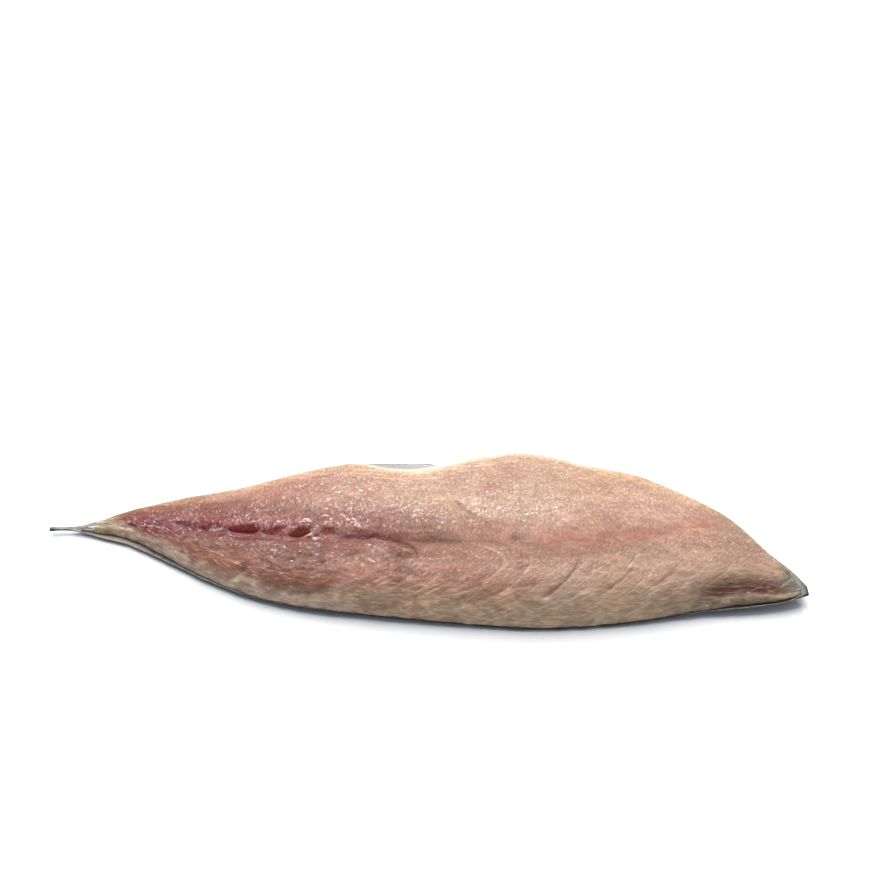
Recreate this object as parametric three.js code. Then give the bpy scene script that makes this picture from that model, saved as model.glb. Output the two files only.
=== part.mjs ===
// A mackerel fillet with its skin on, lying skin side down with the cut side up.
// It is one piece, so it is one closed solid.
//
// Millimetres, +Z up. X runs along the fish, from the tail tip at -X to the nape at +X.
// The back of the fish is the thick edge at -Y, and the thin belly flap is at +Y.
// The origin is the centre of the box around the fillet, on the surface it lies on.

import * as THREE from 'three';

const { lerp, smoothstep } = THREE.MathUtils;

// ---- Driving dimensions ----------------------------------------------------------------

const LENGTH = 238;
const SKIN_EDGE = 0.6;          // thickness of the bare skin along the back edge
const BACK_ROUNDING = 2.2;      // superellipse power of the steep rise from the back edge
const BELLY_ROUNDING = 2.6;     // the belly edge rounds over within this distance
const BACK_CONTACT_INSET = 6;   // the skin leaves the table this far inside the back edge
const BELLY_CONTACT_INSET = 9;  // and this far inside the belly edge
const TAIL_LIFT_FROM = -98;     // beyond here the tail tip curls up off the table
const NAPE_LIFT_FROM = 98;      // beyond here the nape tip does
const TAIL_LIFT = 1.7;
const NAPE_LIFT = 3.8;

// Outline seen from above: x, y.
const backEdge = curveThrough([
  [-119, 1.7], [-111, 1.9], [-103, -0.4], [-92, -3.8], [-78, -11.2], [-64, -18.8],
  [-50, -24.6], [-35, -28.6], [-11, -31.8], [12, -34.0], [37, -35.5], [61, -33.9],
  [86, -30.4], [107, -28.5], [114, -26.9], [119, -25.2],
]);
const bellyEdge = curveThrough([
  [-119, 3.3], [-111, 3.8], [-104, 6.0], [-88, 12.3], [-76, 15.7], [-59, 19.7],
  [-40, 26.3], [-28, 29.6], [-20, 30.1], [-12, 27.6], [-3, 26.9], [3, 27.9],
  [8, 29.4], [20, 33.1], [34, 35.5], [44, 34.2], [54, 30.4], [74, 24.2],
  [86, 17.3], [96, 10.6], [104, 1.9], [112, -10.1], [116, -16.0], [119, -21.6],
]);

// The crest is the thickest line of the flesh: x, y.
const crestLine = curveThrough([
  [-119, 2.7], [-111, 3.0], [-103, 3.2], [-92, 1.8], [-80, -0.8], [-68, -3.4],
  [-47, -7.0], [-36, -8.8], [-14, -10.4], [7, -12.4], [31, -14.4], [46, -13.4],
  [69, -9.8], [82, -9.8], [96, -13.2], [108, -18.8], [119, -23.5],
]);

// The line where the backbone was, which leaves the crest behind the head: x, y.
const backboneLine = curveThrough([
  [-119, 2.6], [-107, 1.9], [-98, 2.3], [-90, 0.9], [-81, -0.2], [-69, -2.8],
  [-59, -4.9], [-49, -7.0], [-39, -8.6], [-30, -9.1], [-16, -9.5], [-8, -10.8],
  [0, -12.0], [21, -13.2], [38, -13.8], [47, -13.5], [56, -11.8], [62, -10.4],
  [75, -6.9], [90, -0.8], [99, 3.0], [106, 6.0],
]);

// Heights above the table: x, z.
const crestHeight = curveThrough([
  [-119, 2.5], [-111, 2.6], [-103, 3.6], [-92, 5.2], [-80, 7.0], [-59, 10.0],
  [-36, 12.0], [-5, 13.6], [31, 15.0], [50, 14.7], [69, 13.6], [82, 11.8],
  [96, 9.0], [105, 7.0], [111, 5.3], [115, 4.6], [119, 4.5],
]);
const backEdgeLift = curveThrough([
  [-119, TAIL_LIFT], [-108, 1.3], [-95, 1.2], [-60, 1.6], [-20, 1.9], [5, 1.6],
  [25, 1.1], [50, 0.9], [70, 1.5], [90, 2.4], [106, 3.3], [119, NAPE_LIFT],
]);
const bellyEdgeLift = curveThrough([
  [-119, TAIL_LIFT], [-108, 1.5], [-60, 1.6], [0, 1.8], [80, 1.8], [106, 2.2],
  [119, NAPE_LIFT],
]);
const bellyEdgeThickness = curveThrough([
  [-119, 0.9], [-100, 1.2], [-60, 2.0], [0, 2.6], [40, 2.4], [80, 2.4], [105, 1.8],
  [119, 1.0],
]);
const bellyFallPower = curveThrough([
  [-119, 2.0], [-60, 2.0], [10, 1.6], [119, 1.6],
]);

// The groove that the backbone left, deepest behind the middle of the fillet.
const GROOVE = { from: -92, to: 24, fade: 26, depth: 0.9, halfWidth: 2.2 };

// Slots left beside the groove where bones were pulled out.
const BONE_SLOTS = [
  { middle: [-54.7, -4.2], halfLength: 5.1, depth: 1.3 },
  { middle: [-45.3, -6.2], halfLength: 3.1, depth: 0.8 },
  { middle: [-36.7, -7.0], halfLength: 3.5, depth: 1.25 },
];
const BONE_SLOT_HALF_WIDTH = 1.3;

// The hollow near the back edge, where the fin bones were cut out behind the head.
// It falls steeply on the side of the edge and rises gently to the crest.
const HOLLOW = { from: 79, to: 119, fade: 12, depth: 1.0, edgeSide: 1.7, crestSide: 4.8 };
const hollowLine = curveThrough([
  [80, -28.6], [84, -28.0], [90, -26.6], [96, -25.4], [101, -24.9], [106, -24.5],
  [112, -24.2], [116, -23.9],
]);

// A shallow fold runs in from the notch in the belly edge towards the crest.
const FOLD = { start: [2, 27], end: [22, -1], depth: 0.45, halfWidth: 4.5 };

// How finely the surface is faceted.
const STATIONS = 139;           // steps along the fillet
const BACK_ROWS = 14;           // rows from the back edge up to the crest
const BELLY_ROWS = 11;          // rows from the crest down to the belly edge
const ROW_BUNCHING = 0.11;      // rows gather where the surface bends most
const BELLY_CURL_SHARES = [0, 0.3, 0.65, 1];  // rows underneath, as shares of each inset
const BACK_CURL_SHARES = [1, 0.6, 0.25, 0];
const WIDEST_BELLY_CURL = 0.4;  // of the fillet's width, where it is narrow
const WIDEST_BACK_CURL = 0.3;

// ---- Helpers ---------------------------------------------------------------------------

// A smooth function through [x, value] pairs.
function curveThrough(pairs) {
  const places = pairs.map((pair) => pair[0]);
  const values = pairs.map((pair) => pair[1]);
  const curve = new THREE.CubicInterpolant(places, values, 1);
  return (x) => curve.evaluate(x)[0];
}

// 1 between from and to, falling smoothly to 0 outside them over the fade length.
function between(x, { from, to, fade }) {
  return smoothstep(x, from, from + fade) * (1 - smoothstep(x, to - fade, to));
}

function bell(distance, halfWidth) {
  return Math.exp(-((distance / halfWidth) ** 2));
}

// Even steps from 0 to 1, gathered towards both ends.
function bunchedSteps(count) {
  const steps = [];
  for (let i = 0; i <= count; i += 1) {
    const t = i / count;
    steps.push(t - ROW_BUNCHING * Math.sin(2 * Math.PI * t));
  }
  return steps;
}

// ---- Cut surface -----------------------------------------------------------------------

function crownHeight(x, y) {
  const crest = crestHeight(x);
  if (y < crestLine(x)) {
    const edge = backEdgeLift(x) + SKIN_EDGE;
    const w = (y - backEdge(x)) / (crestLine(x) - backEdge(x));
    const rise = (1 - (1 - w) ** BACK_ROUNDING) ** (1 / BACK_ROUNDING);
    return lerp(edge, crest, rise);
  }
  const edge = bellyEdgeLift(x) + bellyEdgeThickness(x);
  const w = (y - crestLine(x)) / (bellyEdge(x) - crestLine(x));
  return lerp(crest, edge, w ** bellyFallPower(x)) - bellyRounding(x, y);
}

function bellyRounding(x, y) {
  const overhang = Math.max(0, 1 - (bellyEdge(x) - y) / BELLY_ROUNDING);
  const arc = 1 - Math.sqrt(1 - Math.min(1, overhang) ** 2);
  return (bellyEdgeThickness(x) - SKIN_EDGE) * arc;
}

function grooveDepth(x, y) {
  return GROOVE.depth * between(x, GROOVE) * bell(y - backboneLine(x), GROOVE.halfWidth);
}

function boneSlotDepth(x, y) {
  let depth = 0;
  for (const slot of BONE_SLOTS) {
    const along = (x - slot.middle[0]) / slot.halfLength;
    const lens = Math.sqrt(Math.max(0, 1 - along * along));
    depth += slot.depth * lens * bell(y - slot.middle[1], BONE_SLOT_HALF_WIDTH);
  }
  return depth;
}

function hollowDepth(x, y) {
  const aside = y - hollowLine(x);
  const halfWidth = aside > 0 ? HOLLOW.crestSide : HOLLOW.edgeSide;
  return HOLLOW.depth * between(x, HOLLOW) * bell(aside, halfWidth);
}

function foldDepth(x, y) {
  const start = new THREE.Vector3(...FOLD.start, 0);
  const end = new THREE.Vector3(...FOLD.end, 0);
  const here = new THREE.Vector3(x, y, 0);
  const nearest = new THREE.Line3(start, end).closestPointToPoint(here, true, new THREE.Vector3());
  return FOLD.depth * bell(nearest.distanceTo(here), FOLD.halfWidth);
}

function cutSurface(x, y) {
  const carving = grooveDepth(x, y) + boneSlotDepth(x, y) + hollowDepth(x, y) + foldDepth(x, y);
  return Math.max(crownHeight(x, y) - carving, skinSurface(x, y) + SKIN_EDGE);
}

// ---- Skin surface, underneath ----------------------------------------------------------

function curlFromEdge(distance, inset, lift) {
  return lift * Math.max(0, 1 - distance / inset) ** 2;
}

function skinSurface(x, y) {
  const tail = TAIL_LIFT * smoothstep(-x, -TAIL_LIFT_FROM, LENGTH / 2);
  const nape = NAPE_LIFT * smoothstep(x, NAPE_LIFT_FROM, LENGTH / 2);
  const back = curlFromEdge(y - backEdge(x), BACK_CONTACT_INSET, backEdgeLift(x));
  const belly = curlFromEdge(bellyEdge(x) - y, BELLY_CONTACT_INSET, bellyEdgeLift(x));
  return Math.max(tail, nape, back, belly);
}

// ---- One closed section across the fillet, and the loft through all of them -------------

function sectionAt(x) {
  const back = backEdge(x);
  const crest = crestLine(x);
  const belly = bellyEdge(x);
  const width = belly - back;
  const section = [];
  for (const w of bunchedSteps(BACK_ROWS)) {
    const y = lerp(back, crest, w);
    section.push(new THREE.Vector3(x, y, cutSurface(x, y)));
  }
  for (const w of bunchedSteps(BELLY_ROWS).slice(1)) {
    const y = lerp(crest, belly, w);
    section.push(new THREE.Vector3(x, y, cutSurface(x, y)));
  }
  for (const share of BELLY_CURL_SHARES) {
    const y = belly - share * Math.min(BELLY_CONTACT_INSET, WIDEST_BELLY_CURL * width);
    section.push(new THREE.Vector3(x, y, skinSurface(x, y)));
  }
  for (const share of BACK_CURL_SHARES) {
    const y = back + share * Math.min(BACK_CONTACT_INSET, WIDEST_BACK_CURL * width);
    section.push(new THREE.Vector3(x, y, skinSurface(x, y)));
  }
  return section;
}

function loftSections(sections) {
  const positions = [];
  const triangles = [];
  const count = sections[0].length;
  for (const section of sections) {
    for (const point of section) positions.push(point.x, point.y, point.z);
  }
  for (let i = 0; i < sections.length - 1; i += 1) {
    for (let j = 0; j < count; j += 1) {
      const here = i * count + j;
      const beside = i * count + ((j + 1) % count);
      triangles.push(here, here + count, beside);
      triangles.push(beside, here + count, beside + count);
    }
  }
  addEndCap(positions, triangles, sections[0], 0, false);
  addEndCap(positions, triangles, sections.at(-1), (sections.length - 1) * count, true);
  const geometry = new THREE.BufferGeometry();
  geometry.setAttribute('position', new THREE.Float32BufferAttribute(positions, 3));
  geometry.setIndex(triangles);
  return geometry;
}

// Closes one end with a fan of triangles round the middle of its section.
function addEndCap(positions, triangles, section, first, facesNape) {
  const centre = section.reduce((sum, p) => sum.add(p), new THREE.Vector3());
  centre.divideScalar(section.length);
  const hub = positions.length / 3;
  positions.push(centre.x, centre.y, centre.z);
  for (let j = 0; j < section.length; j += 1) {
    const here = first + j;
    const beside = first + ((j + 1) % section.length);
    if (facesNape) triangles.push(hub, beside, here);
    else triangles.push(hub, here, beside);
  }
}

// ---- The fillet ------------------------------------------------------------------------

function makeFillet() {
  const sections = [];
  for (let i = 0; i <= STATIONS; i += 1) {
    sections.push(sectionAt(lerp(-LENGTH / 2, LENGTH / 2, i / STATIONS)));
  }
  const material = new THREE.MeshStandardMaterial({
    color: 0xc99f8a,
    roughness: 0.38,
    metalness: 0,
  });
  const fillet = new THREE.Mesh(loftSections(sections), material);
  fillet.name = 'fillet';
  return fillet;
}

const part = new THREE.Group();
part.add(makeFillet());

export default part;
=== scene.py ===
"""A raw mackerel fillet, skin side down with its cut side up, on a pale floor.

Shapes are worked out in millimetres with the CAD solid's own curves, finer than the solid
holds them, and turned into metres when each mesh is made. X runs from the tail tip to the
nape, -Y is the thick back edge and +Y the thin belly edge.
"""

import math

import bpy
import numpy as np
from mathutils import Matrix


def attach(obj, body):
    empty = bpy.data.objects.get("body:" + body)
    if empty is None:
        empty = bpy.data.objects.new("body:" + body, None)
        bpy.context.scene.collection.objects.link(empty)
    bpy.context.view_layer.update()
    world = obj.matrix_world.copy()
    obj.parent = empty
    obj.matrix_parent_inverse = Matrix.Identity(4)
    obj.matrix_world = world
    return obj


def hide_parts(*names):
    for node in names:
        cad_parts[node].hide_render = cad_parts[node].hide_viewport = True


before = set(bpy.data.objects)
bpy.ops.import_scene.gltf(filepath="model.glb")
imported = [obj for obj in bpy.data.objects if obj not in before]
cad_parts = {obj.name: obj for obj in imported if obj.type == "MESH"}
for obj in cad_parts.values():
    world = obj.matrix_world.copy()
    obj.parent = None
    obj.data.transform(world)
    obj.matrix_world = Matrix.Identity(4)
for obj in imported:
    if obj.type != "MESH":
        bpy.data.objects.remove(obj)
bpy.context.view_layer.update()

MM = 0.001

# ---- Driving dimensions, in millimetres ---------------------------------------------------

SKIN_THICKNESS = 0.5
SKIN_EDGE = 0.6             # height of the flesh's lowest edge above the skin's outside
BACK_ROUNDING = 2.2         # superellipse power of the steep rise from the back edge
BELLY_ROUNDING = 2.6        # the belly edge rounds over within this distance
BACK_CONTACT_INSET = 6      # the skin leaves the table this far inside the back edge
BELLY_CONTACT_INSET = 9
TAIL_LIFT_FROM = -98        # beyond here the tail tip curls up off the table
NAPE_LIFT_FROM = 98
TAIL_LIFT = 1.7
NAPE_LIFT = 3.8
TAIL_END = -119
NAPE_END = 119
FLESH_TAIL_END = -108.8     # the flesh stops short of both tips, where bare skin goes on
FLESH_NAPE_END = 116.8
RELIEF_INSET = 2.5          # lumps and flakes fade out within this distance of the edges
FLAKE_RELIEF = 0.15         # how far a block of muscle rises at its border
LEAST_FLESH = 0.05          # how thin a cut leaves the flesh over the skin

MYOMERE_PITCH = 7.9         # one block of muscle for each vertebra
LEAST_CLIMB = 0.8           # the borders of the blocks start this far from the back edge
BORDER_LEAN = 9.6           # how far they lean towards the nape as they rise from it
BORDER_BEND = 0.16          # how sharply they bend back near the crest
BORDER_SLANT = 0.62         # and how they slant towards the tail over the belly half

GROOVE = {"start": -92, "end": 24, "fade": 26, "depth": 0.9, "half_width": 2.2}
HOLLOW = {"start": 79, "end": 119, "fade": 12, "depth": 1.0, "edge_side": 1.7,
          "crest_side": 4.8}
FOLD = {"path": [(2, 27), (22, -1)], "depth": 0.45, "half_width": 4.5}

SCALE_SIZE = 0.9


# ---- Small numeric helpers ----------------------------------------------------------------

def curve_through(*pairs):
    """A smooth function through (x, value) pairs."""
    places, values = np.array(pairs, float).T
    slopes = np.gradient(values, places)
    slopes[1:-1] = (values[2:] - values[:-2]) / (places[2:] - places[:-2])

    def curve(x):
        x = np.clip(x, places[0], places[-1])
        i = np.clip(np.searchsorted(places, x, side="right") - 1, 0, len(places) - 2)
        span = places[i + 1] - places[i]
        t = (x - places[i]) / span
        start = (1 + 2 * t) * (1 - t) ** 2 * values[i] + t * (1 - t) ** 2 * span * slopes[i]
        end = t * t * (3 - 2 * t) * values[i + 1] + t * t * (t - 1) * span * slopes[i + 1]
        return start + end

    return curve


def smoothstep(x, low, high):
    t = np.clip((x - low) / (high - low), 0, 1)
    return t * t * (3 - 2 * t)


def between(x, low, high, fade):
    """1 between low and high, falling smoothly to 0 within the fade length inside them."""
    return smoothstep(x, low, low + fade) * (1 - smoothstep(x, high - fade, high))


def bell(distance, half_width):
    return np.exp(-((distance / half_width) ** 2))


def grain(x, y, size_x, size_y, seed):
    """Smooth random waves from -1 to 1, with lumps of about the given size."""
    table = np.random.default_rng(seed).uniform(-1, 1, (256, 256))
    u, v = x / size_x, y / size_y
    i, j = np.floor(u).astype(int), np.floor(v).astype(int)
    s, t = smoothstep(u - i, 0, 1), smoothstep(v - j, 0, 1)
    i0, i1, j0, j1 = i % 256, (i + 1) % 256, j % 256, (j + 1) % 256
    low = table[i0, j0] * (1 - s) + table[i1, j0] * s
    high = table[i0, j1] * (1 - s) + table[i1, j1] * s
    return low * (1 - t) + high * t


def layered_grain(x, y, size_x, size_y, seed, layers=3):
    total = 0
    for layer in range(layers):
        scale = 2 ** layer
        total = total + grain(x + 31 * layer, y + 17 * layer,
                              size_x / scale, size_y / scale, seed + layer) / scale
    return total


def beside_path(x, y, path):
    """Distance to a path of points, above 0 on its left, and how far along it, 0 to 1."""
    path = np.array(path, float)
    lengths = np.hypot(*np.diff(path, axis=0).T)
    nearest = np.full(x.shape, np.inf)
    signed = np.zeros(x.shape)
    along = np.zeros(x.shape)
    for k, length in enumerate(lengths):
        (ax, ay), (bx, by) = path[k], path[k + 1]
        t = ((x - ax) * (bx - ax) + (y - ay) * (by - ay)) / length ** 2
        t = np.clip(t, 0, 1)
        distance = np.hypot(x - ax - t * (bx - ax), y - ay - t * (by - ay))
        side = np.sign((bx - ax) * (y - ay) - (by - ay) * (x - ax))
        nearer = distance < nearest
        nearest = np.where(nearer, distance, nearest)
        signed = np.where(nearer, distance * side, signed)
        along = np.where(nearer, (lengths[:k].sum() + t * length) / lengths.sum(), along)
    return signed, along


# ---- The fillet's curves ------------------------------------------------------------------

back_edge = curve_through(
    (-119, 1.7), (-111, 1.9), (-103, -0.4), (-92, -3.8), (-78, -11.2), (-64, -18.8),
    (-50, -24.6), (-35, -28.6), (-11, -31.8), (12, -34.0), (37, -35.5), (61, -33.9),
    (86, -30.4), (107, -28.5), (114, -26.9), (119, -25.2))
BELLY_POINTS = [
    (-88, 12.3), (-76, 15.7), (-59, 19.7), (-40, 26.3), (-28, 29.6), (-20, 30.1),
    (-12, 27.6), (-3, 26.9), (3, 27.9), (8, 29.4), (20, 33.1), (34, 35.5), (44, 34.2),
    (54, 30.4), (74, 24.2)]
belly_edge = curve_through(
    (-119, 3.3), (-111, 3.8), (-104, 6.0), *BELLY_POINTS, (86, 17.3), (96, 10.6),
    (104, 1.9), (112, -10.1), (116, -16.0), (119, -21.6))
crest_line = curve_through(
    (-119, 2.7), (-111, 3.0), (-103, 3.2), (-92, 1.8), (-80, -0.8), (-68, -3.4),
    (-47, -7.0), (-36, -8.8), (-14, -10.4), (7, -12.4), (31, -14.4), (46, -13.4),
    (69, -9.8), (82, -9.8), (96, -13.2), (108, -18.8), (119, -23.5))
crest_height = curve_through(
    (-119, 2.5), (-111, 2.6), (-103, 3.6), (-92, 5.2), (-80, 7.0), (-59, 10.0),
    (-36, 12.0), (-5, 13.6), (31, 15.0), (50, 14.7), (69, 13.6), (82, 11.8),
    (96, 9.0), (105, 7.0), (111, 5.3), (115, 4.6), (119, 4.5))
back_edge_lift = curve_through(
    (-119, TAIL_LIFT), (-108, 1.3), (-95, 1.2), (-60, 1.6), (-20, 1.9), (5, 1.6),
    (25, 1.1), (50, 0.9), (70, 1.5), (90, 2.4), (106, 3.3), (119, NAPE_LIFT))
belly_edge_lift = curve_through(
    (-119, TAIL_LIFT), (-108, 1.5), (-60, 1.6), (0, 1.8), (80, 1.8), (106, 2.2),
    (119, NAPE_LIFT))
belly_edge_thickness = curve_through(
    (-119, 0.9), (-100, 1.2), (-60, 2.0), (0, 2.6), (40, 2.4), (80, 2.4), (105, 1.8),
    (119, 1.0))
belly_fall_power = curve_through((-119, 2.0), (-60, 2.0), (10, 1.6), (119, 1.6))

# The red line of the backbone, which leaves the crest behind the head.
bloodline = curve_through(
    (-119, 2.6), (-107, 1.9), (-98, 2.3), (-90, 0.9), (-81, -0.2), (-69, -2.8),
    (-59, -4.9), (-49, -7.0), (-39, -8.6), (-30, -9.1), (-16, -9.5), (-8, -10.8),
    (0, -12.0), (21, -13.2), (38, -13.8), (47, -13.5), (56, -11.8), (62, -10.4),
    (75, -6.9), (90, -0.8), (99, 3.0), (106, 6.0))

# The deepest line of the hollow behind the head.
hollow_line = curve_through(
    (80, -28.6), (84, -28.0), (90, -26.6), (96, -25.4), (101, -24.9), (106, -24.5),
    (112, -24.2), (116, -23.9))
# How far above the back edge the borders of the muscle blocks bend back.
border_bend = curve_through((0, 10), (45, 15))
# Where the flesh ends on the bare skin.
flesh_back_inset = curve_through(
    (-109, 0.6), (-104, 1.2), (-96, 1.9), (-84, 1.6), (-70, 0.9), (-55, 0.6), (-30, 0.4),
    (70, 0.4), (84, 0.6), (94, 1.0), (106, 1.2), (112, 0.9))
flesh_belly_edge = curve_through(
    (-108.8, 2.0), (-106, 3.4), (-103.2, 5.2), (-100, 7.3), (-96, 9.3),
    *[(x, y - 0.2) for x, y in BELLY_POINTS], (86, 17.0), (96, 10.3), (101, 5.5),
    (105, 0.1), (108.7, -5.9), (111.2, -10.0), (113, -12.9), (115, -16.6),
    (116.8, -22.6))
# Pale fat shows between the back edge and this distance from it, with a ragged border.
fat_margin = curve_through(
    (-109, 1.8), (-95, 2.8), (-85, 3.0), (-75, 2.5), (-69, 2.0), (-62, 2.0), (-57, 2.4),
    (-54, 3.7), (-50, 2.6), (-46, 1.7), (-38, 1.7), (-31, 2.2), (-27, 3.2), (-22, 4.0),
    (-10, 4.2), (10, 3.8), (60, 3.6), (90, 2.6), (112, 2.0))
# Belly skin that the flesh no longer covers stands out in the notch of the belly edge.
skin_flap = curve_through((-24, 0), (-20, 0.6), (-16, 2.2), (-12, 3.6), (-6, 4.1),
                          (0, 3.7), (4, 2.8), (7, 0.7), (9, 0))


# ---- The skin's outside, underneath --------------------------------------------------------

def curl_from_edge(distance, inset, lift):
    return lift * np.maximum(0, 1 - distance / inset) ** 2


def skin_outside(x, y):
    tail = TAIL_LIFT * smoothstep(-x, -TAIL_LIFT_FROM, -TAIL_END)
    nape = NAPE_LIFT * smoothstep(x, NAPE_LIFT_FROM, NAPE_END)
    back = curl_from_edge(y - back_edge(x), BACK_CONTACT_INSET, back_edge_lift(x))
    belly = curl_from_edge(np.maximum(0, belly_edge(x) - y), BELLY_CONTACT_INSET,
                           belly_edge_lift(x))
    return np.maximum(np.maximum(tail, nape), np.maximum(back, belly))


# ---- The cut surface -----------------------------------------------------------------------

def crown(x, y, back, belly):
    crest, top = crest_line(x), crest_height(x)
    crest = np.clip(crest, back + 0.25 * (belly - back), back + 0.75 * (belly - back))
    low = back_edge_lift(x) + SKIN_EDGE
    w = np.clip((y - back) / (crest - back), 0, 1)
    rise = (1 - (1 - w) ** BACK_ROUNDING) ** (1 / BACK_ROUNDING)
    back_half = low + (top - low) * rise
    rim = belly_edge_lift(x) + belly_edge_thickness(x)
    w = np.clip((y - crest) / (belly - crest), 0, 1)
    overhang = np.clip(1 - (belly - y) / BELLY_ROUNDING, 0, 1)
    rounding = (belly_edge_thickness(x) - SKIN_EDGE) * (1 - np.sqrt(1 - overhang ** 2))
    belly_half = top + (rim - top) * w ** belly_fall_power(x) - rounding
    return np.where(y < crest, back_half, belly_half)


# Pockets left by the bones, thin slits whose far wall slopes up behind the sharp near lip:
# depth, reach behind the lip, lip.
BONE_SLOTS = [
    (1.2, 1.65, [(-59.8, -3.9), (-58.4, -4.4), (-56.4, -5.0), (-53.2, -5.5), (-50.6, -5.6),
                 (-49.6, -5.0)]),
    (0.6, 2.1, [(-48.4, -6.2), (-46.1, -7.2), (-44.2, -7.1), (-42.2, -6.6)]),
    (1.15, 1.75, [(-40.2, -7.9), (-37.2, -8.2), (-35.3, -8.0), (-33.2, -7.1)]),
    (0.30, 2.0, [(-31.0, -8.2), (-28.0, -8.5), (-24.6, -8.4)]),
]
# Wet muscle that bulges over the pockets, and beside the crack further on: middle, half
# length, half width, height.
LUMPS = [
    ((-52.0, -2.3), 3.4, 1.2, 0.55),
    ((-43.4, -3.7), 2.6, 1.3, 0.70),
    ((-35.6, -4.5), 2.6, 1.4, 0.80),
    ((-27.4, -5.2), 2.2, 1.3, 0.70),
    ((-29.6, -1.4), 1.9, 0.9, 0.35),
    ((-32.2, -7.7), 1.2, 0.8, 0.50),
    ((-3.6, -15.2), 2.8, 2.6, 0.35),
]
# Torn pale strands that stand up and catch the light, their pale colour partly a painted
# highlight: height, path.
STRANDS = [
    (0.42, [(-24.6, 1.0), (-23.0, -1.8), (-20.8, -3.6), (-17.9, -6.5)]),
    (0.26, [(-20.8, -1.2), (-19.2, -3.7), (-17.2, -6.7)]),
    (0.42, [(-37.2, -4.1), (-36.0, -2.4), (-34.5, -1.8), (-33.0, -3.2)]),
    (0.42, [(-31.2, -1.6), (-29.3, -0.2), (-27.4, -1.1)]),
    (0.38, [(-30.4, -4.3), (-28.3, -3.1), (-26.2, -3.8)]),
    (0.28, [(-45.6, -4.9), (-43.9, -2.8), (-41.2, -1.8)]),
    (0.24, [(-53.0, -3.2), (-50.8, -1.5), (-48.8, -0.9)]),
    (0.30, [(-35.4, -8.3), (-33.2, -7.6), (-31.8, -9.5), (-29.9, -9.3)]),
    (0.14, [(-57.0, -10.0), (-54.2, -10.6), (-52.4, -10.1)]),
    (0.14, [(-45.4, -13.0), (-42.9, -13.9)]),
    (0.14, [(-28.4, -16.4), (-24.8, -17.2)]),
    (0.20, [(-15.6, -17.8), (-12.6, -19.3)]),
    (0.16, [(-61.0, -3.2), (-63.5, -3.6), (-66.4, -3.0)]),
    (0.10, [(-80.5, 1.4), (-76.6, 1.7), (-73.2, 1.3)]),
    (0.10, [(-89.0, 0.6), (-84.2, 0.3)]),
    (0.12, [(104.3, -4.2), (105.6, -7.2)]),
    (0.14, [(85.2, -29.6), (88.6, -29.1)]),
    (0.14, [(91.0, -28.7), (94.6, -28.2)]),
]
# Cracks: depth, path.
CRACKS = [
    (0.30, [(-65, -4.5), (-61.5, -5.2), (-58, -7.0), (-53.7, -8.3), (-49, -8.7),
            (-44, -9.4), (-39.5, -10.0), (-35, -9.5), (-29.9, -9.1)]),
    (0.60, [(-28, -9.0), (-23.5, -9.3), (-19.4, -9.4), (-15.5, -9.5), (-13.4, -9.1),
            (-11.8, -9.9), (-8.0, -10.6), (-4.8, -11.8), (-2.2, -13.0), (-0.5, -15.5),
            (0.0, -18.2), (1.3, -21.5)]),
    (0.18, [(-3, -11.3), (3.2, -12.1), (8.4, -11.9), (14.7, -12.8), (22, -13.0)]),
    (0.27, [(49.6, -17.8), (48.7, -19.4), (47.5, -22.3), (45.2, -25.0), (42.5, -27.5),
            (39.4, -29.6), (35.2, -30.9)]),
    (0.22, [(65.2, -20.0), (64.5, -21.7), (62.5, -23.7), (60.2, -25.8), (57.5, -27.8),
            (55.0, -29.2)]),
    (0.18, [(79.0, -18.6), (78.1, -20.4), (76.2, -22.7), (74.0, -24.2), (71.6, -25.8)]),
    (0.18, [(20.4, -26.8), (15.7, -29.8), (10.4, -31.6)]),
    (0.18, [(27.4, -27.6), (21.6, -30.2), (15.0, -31.6)]),
]
# Soft dents and folds, wider than a crack: depth, half width, path.
DENTS = [
    (0.34, 1.5, [(11.1, 8.0), (13.9, 3.5), (16.6, 0.1), (21.0, -2.4)]),
    (0.35, 0.9, [(-59.5, -19.8), (-57.7, -19.8), (-54.8, -19.6), (-51.4, -18.6)]),
    (0.38, 1.1, [(-40.6, -25.4), (-38.4, -25.8), (-33.2, -26.5), (-27.9, -26.4),
                 (-24.6, -25.2)]),
    (0.25, 1.6, [(28.6, -11.2), (31.4, -12.4)]),
]
# Bruises: middle, radius.
STAINS = [((30.4, -11.8), 1.7), ((24.4, -9.1), 1.3), ((31.5, -18.3), 1.0), ((-5.6, -22.0), 2.2)]
# A rosy line runs in from the belly edge.
ROSE_PATH = [(35.0, 29.0), (31.2, 25.0), (27.5, 18.1), (22.0, 10.6), (17.0, 4.0)]


def lens(along):
    """How far a slit is open along its length."""
    return np.sqrt(np.maximum(0, 1 - (2 * along - 1) ** 2))


def pocket(x, y, reach, lip):
    """How deep a bone pocket is behind its sharp near lip, where it is red, and where painted
    shade darkens its deepest part.
    """
    behind, along = beside_path(x, y, lip)
    opened = lens(along)
    reach = 0.5 + reach * (0.3 + 0.7 * opened)
    depth = smoothstep(behind, -0.25, 0.25) * (1 - smoothstep(behind, 0.1, reach)) * opened
    inside = smoothstep(behind, -0.05, 0.15) * smoothstep(opened, 0, 0.4)
    red = inside * (1 - smoothstep(behind, 0.60 * reach, 1.2 * reach))
    # Painted shade: the deepest part, right behind the lip, is darkened.
    dark = inside * (1 - smoothstep(behind, 0.22 * reach, 0.55 * reach))
    return depth, red, dark


def lump(x, y, middle, half_length, half_width, height):
    along = (x - middle[0]) / half_length
    aside = (y - middle[1]) / half_width
    return height * np.exp(-(along ** 2 + aside ** 2) ** 1.4)


def wandering(x, y, amount):
    """Small random shifts, so that a path doesn't run too smoothly."""
    return amount * grain(x, y, 1.7, 1.7, 71)


def fading_ends(along, start, end):
    """1 along a path, falling to 0 at both its ends."""
    return smoothstep(along, 0, start) * (1 - smoothstep(along, end, 1))


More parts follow.
